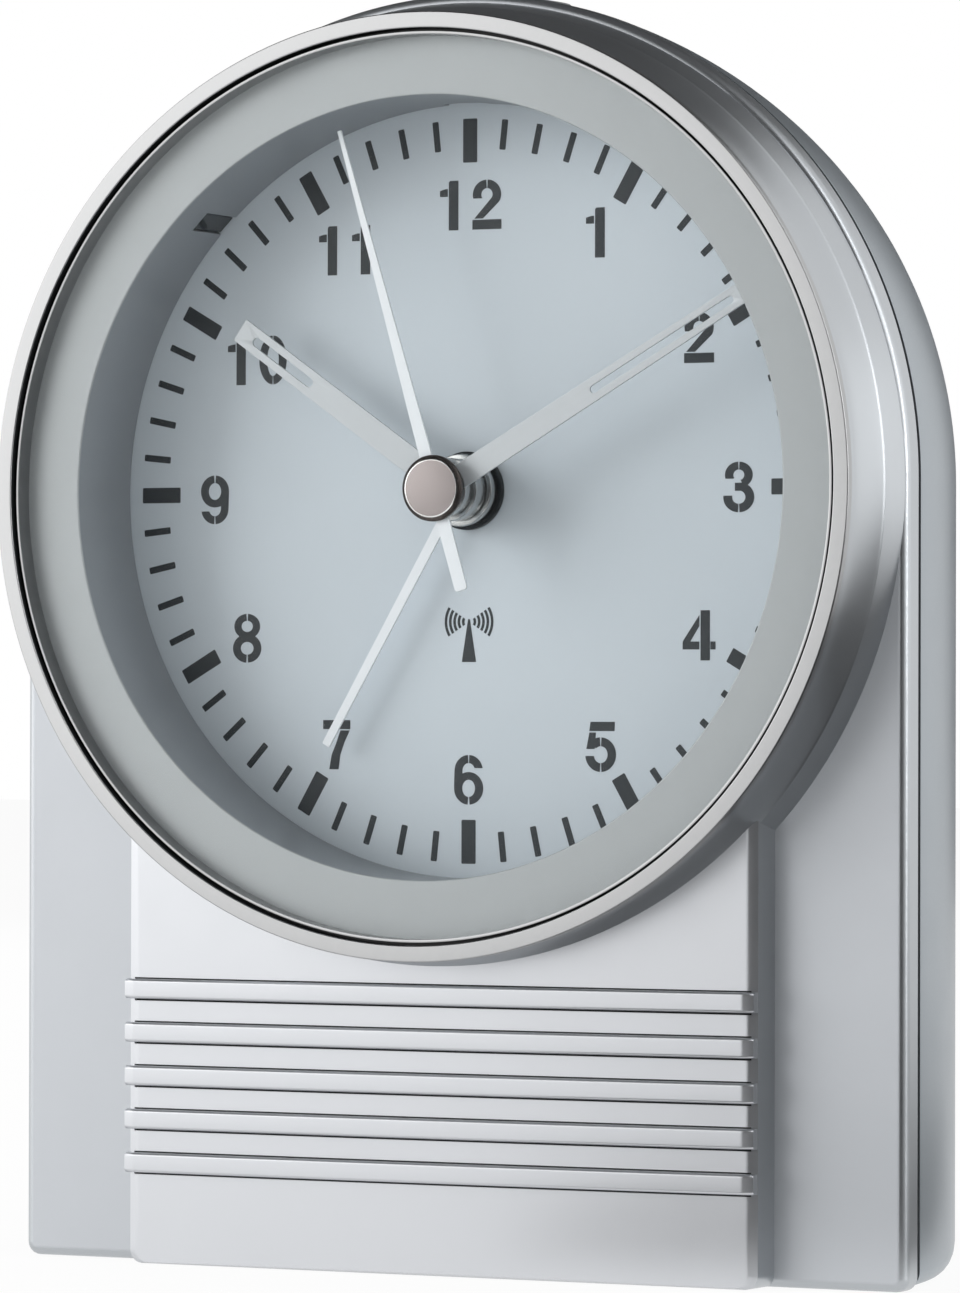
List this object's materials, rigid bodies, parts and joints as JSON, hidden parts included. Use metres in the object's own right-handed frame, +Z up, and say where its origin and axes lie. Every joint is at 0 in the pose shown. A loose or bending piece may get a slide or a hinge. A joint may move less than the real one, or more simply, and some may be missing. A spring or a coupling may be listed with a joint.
{
  "type": "analogue alarm clock",
  "caption": "Arch-shaped silver table alarm clock with a round recessed dial, ribbed column, snooze button, rear setting controls and battery door.",
  "frame": {"origin": "on the surface that the clock stands on, under the middle of its bounding box", "axes": "+Z up, the dial faces -Y, +X is to the right of a person who faces the dial"},
  "size_m": [0.0932, 0.043, 0.122],
  "materials": {
    "silver_paint": "satin silver paint on moulded plastic",
    "rear_paint": "satin grey paint on moulded plastic",
    "plated": "plated plastic, soft shine",
    "window": "clear polished plastic",
    "surround_grey": "satin grey paint",
    "dial_grey": "printed, pale blue grey",
    "hand_grey": "matt grey paint",
    "hand_white": "white paint",
    "cap_metal": "turned",
    "dark_metal": "dark plating",
    "button_paint": "satin silver paint",
    "black_plastic": "fine moulded texture",
    "white_plastic": "moulded",
    "rubber": "matt",
    "zinc": "zinc plated",
    "brass": "turned",
    "copper": "enamelled winding wire",
    "ferrite": "sintered, matt",
    "board_green": "solder mask",
    "cell_sleeve": "printed sleeve",
    "guide_clear": "translucent light guide"
  },
  "bodies": {
    "case": {"front_shell": "silver_paint", "rear_shell": "rear_paint", "bezel_ring": "plated", "lens": "window", "dial_surround": "surround_grey", "dial": "dial_grey", "dial_light_left": "guide_clear", "dial_light_top": "guide_clear", "dial_light_right": "guide_clear", "dial_carrier": "black_plastic", "dial_nut": "dark_metal", "movement_front_plate": "white_plastic", "movement_middle_plate": "white_plastic", "movement_rear_cup": "white_plastic", "minute_stator": "zinc", "second_stator": "zinc", "minute_coil": "copper", "second_coil": "copper", "circuit_board": "board_green", "buzzer": "black_plastic", "antenna_rod": "ferrite", "antenna_coil": "copper", "battery_lower": "cell_sleeve", "battery_upper": "cell_sleeve", "contact_spring_lower": "zinc", "contact_spring_upper": "zinc", "contact_plate_lower": "zinc", "contact_plate_upper": "zinc", "contact_bridge": "zinc", "snooze_switch": "black_plastic", "snooze_board": "board_green", "case_screw_1": "zinc", "case_screw_2": "zinc", "case_screw_3": "zinc", "case_screw_4": "zinc", "rubber_foot_1": "rubber", "rubber_foot_2": "rubber", "rubber_foot_3": "rubber", "rubber_foot_4": "rubber"},
    "minute_set": {"minute_hand": "hand_grey", "minute_wheel": "brass"},
    "hour_set": {"hour_hand": "hand_grey", "hour_wheel": "white_plastic"},
    "intermediate": {"intermediate_wheel": "white_plastic"},
    "minute_motor": {"minute_rotor": "dark_metal"},
    "second_set": {"second_hand": "hand_white", "hand_cap": "cap_metal", "second_wheel": "brass"},
    "second_motor": {"second_rotor": "dark_metal"},
    "alarm_knob": {"alarm_set_knob": "black_plastic"},
    "alarm_set": {"alarm_hand": "hand_white", "alarm_wheel": "white_plastic"},
    "snooze": {"snooze_button": "button_paint"},
    "set_key": {"set_button": "button_paint"},
    "receive_key": {"receive_button": "button_paint"},
    "reset_key": {"reset_button": "button_paint"},
    "alarm_slide": {"alarm_switch": "black_plastic"},
    "door": {"battery_door": "rear_paint"}
  },
  "joints": [
    {"name": "minute_hand_turn", "type": "hinge", "parent": "case", "child": "minute_set", "pos_m": [0, 0, 0.0745], "axis": [0, 1, 0], "continuous": true},
    {"name": "hour_hand_turn", "type": "hinge", "parent": "case", "child": "hour_set", "pos_m": [0, 0, 0.0745], "axis": [0, 1, 0], "continuous": true},
    {"name": "intermediate_turn", "type": "hinge", "parent": "case", "child": "intermediate", "pos_m": [0.01, 0, 0.0745], "axis": [0, 1, 0], "continuous": true},
    {"name": "minute_motor_turn", "type": "hinge", "parent": "case", "child": "minute_motor", "pos_m": [0.01672, 0, 0.06778], "axis": [0, 1, 0], "continuous": true},
    {"name": "second_hand_turn", "type": "hinge", "parent": "case", "child": "second_set", "pos_m": [0, 0, 0.0745], "axis": [0, 1, 0], "continuous": true},
    {"name": "second_motor_turn", "type": "hinge", "parent": "case", "child": "second_motor", "pos_m": [0, 0, 0.0669], "axis": [0, 1, 0], "continuous": true},
    {"name": "alarm_knob_turn", "type": "hinge", "parent": "case", "child": "alarm_knob", "pos_m": [-0.01, 0, 0.0745], "axis": [0, 1, 0], "continuous": true},
    {"name": "alarm_hand_turn", "type": "hinge", "parent": "case", "child": "alarm_set", "pos_m": [0, 0, 0.0745], "axis": [0, 1, 0], "continuous": true},
    {"name": "snooze_press", "type": "slide", "parent": "case", "child": "snooze", "axis": [0, 0, -1], "range_m": [0, 0.0008], "stiffness_N_per_m": 600},
    {"name": "set_press", "type": "slide", "parent": "case", "child": "set_key", "axis": [0, -1, 0], "range_m": [0, 0.0005], "stiffness_N_per_m": 400},
    {"name": "receive_press", "type": "slide", "parent": "case", "child": "receive_key", "axis": [0, -1, 0], "range_m": [0, 0.0005], "stiffness_N_per_m": 400},
    {"name": "reset_press", "type": "slide", "parent": "case", "child": "reset_key", "axis": [0, -1, 0], "range_m": [0, 0.0005], "stiffness_N_per_m": 400},
    {"name": "alarm_slide_move", "type": "slide", "parent": "case", "child": "alarm_slide", "axis": [1, 0, 0], "range_m": [0, 0.004]},
    {"name": "door_swing", "type": "hinge", "parent": "case", "child": "door", "pos_m": [0, 0.0206, 0.0115], "axis": [-1, 0, 0], "range_deg": [0, 90]}
  ],
  "couplings": [
    {"joint": "hour_hand_turn", "follows": "minute_hand_turn", "ratio": 0.083333},
    {"joint": "intermediate_turn", "follows": "minute_hand_turn", "ratio": -0.33333},
    {"joint": "minute_motor_turn", "follows": "minute_hand_turn", "ratio": 1.25},
    {"joint": "second_motor_turn", "follows": "second_hand_turn", "ratio": -3.75},
    {"joint": "alarm_hand_turn", "follows": "alarm_knob_turn", "ratio": -0.33333}
  ]
}
